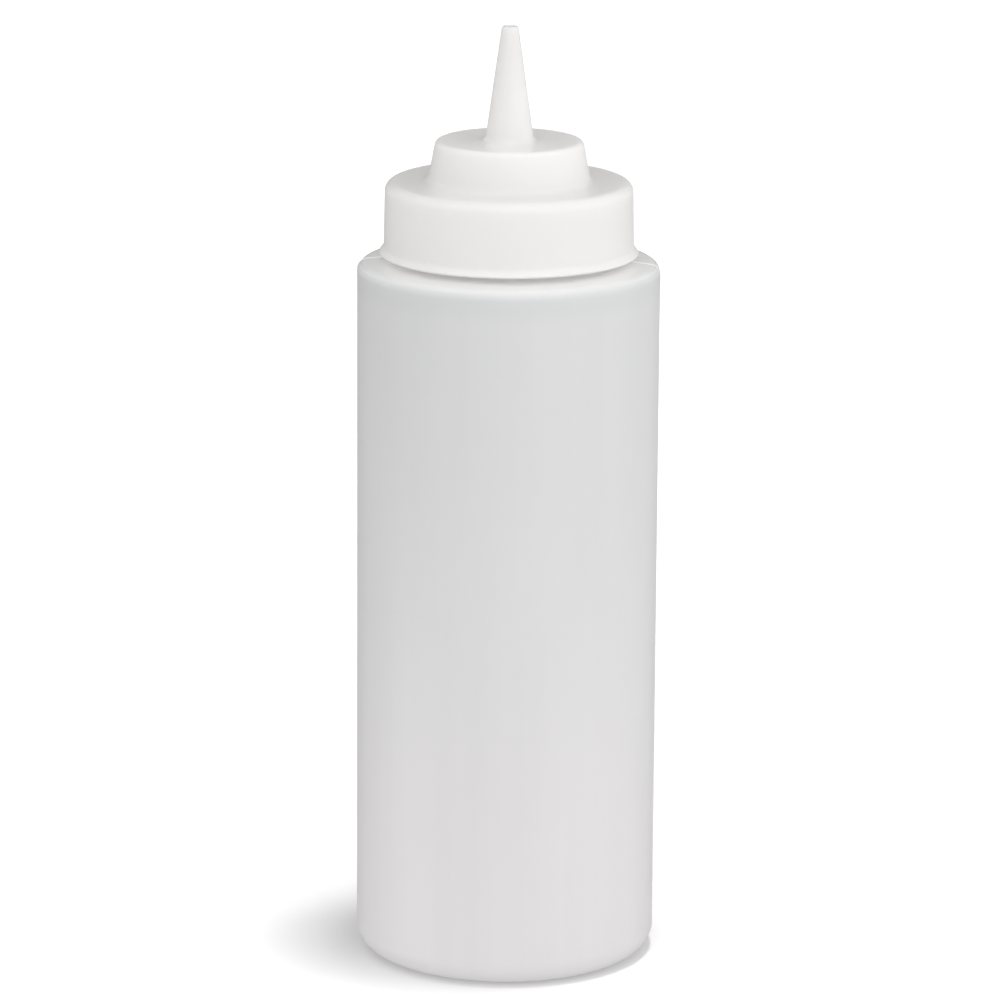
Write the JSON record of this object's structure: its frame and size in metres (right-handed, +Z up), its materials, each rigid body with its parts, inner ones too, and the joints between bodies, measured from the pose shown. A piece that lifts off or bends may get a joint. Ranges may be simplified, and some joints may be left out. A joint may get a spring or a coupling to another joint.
{
  "type": "condiment squeeze bottle",
  "caption": "Wide-mouth round squeeze bottle for sauces, with a screw-on stepped cap that tapers to an open cone nozzle and a soft sealing ring on the rim.",
  "frame": {"origin": "centre of the ring that the bottle stands on, at the height of the surface under it", "axes": "+Z up along the axis of the bottle, cap and nozzle; the threads start on +X; -Y faces the viewer of the front"},
  "size_m": [0.0826, 0.0826, 0.2588],
  "materials": {
    "bottle_plastic": "frosted, slightly translucent natural low-density polyethylene",
    "cap_plastic": "milky white, smooth low-density polyethylene",
    "liner_silicone": "soft, matt, whitish silicone"
  },
  "bodies": {
    "bottle": {"bottle": "bottle_plastic"},
    "liner": {"rim_liner": "liner_silicone"},
    "cap": {"cone_cap": "cap_plastic"}
  },
  "joints": [
    {"name": "cap_lift", "type": "slide", "parent": "bottle", "child": "liner", "axis": [0, 0, 1], "range_m": [0, 0.024]},
    {"name": "cap_turn", "type": "hinge", "parent": "liner", "child": "cap", "pos_m": [0, 0, 0.2132], "axis": [0, 0, 1], "range_deg": [0, 1440]}
  ],
  "couplings": [
    {"joint": "cap_lift", "follows": "cap_turn", "m_per_rad": 0.00095493}
  ]
}
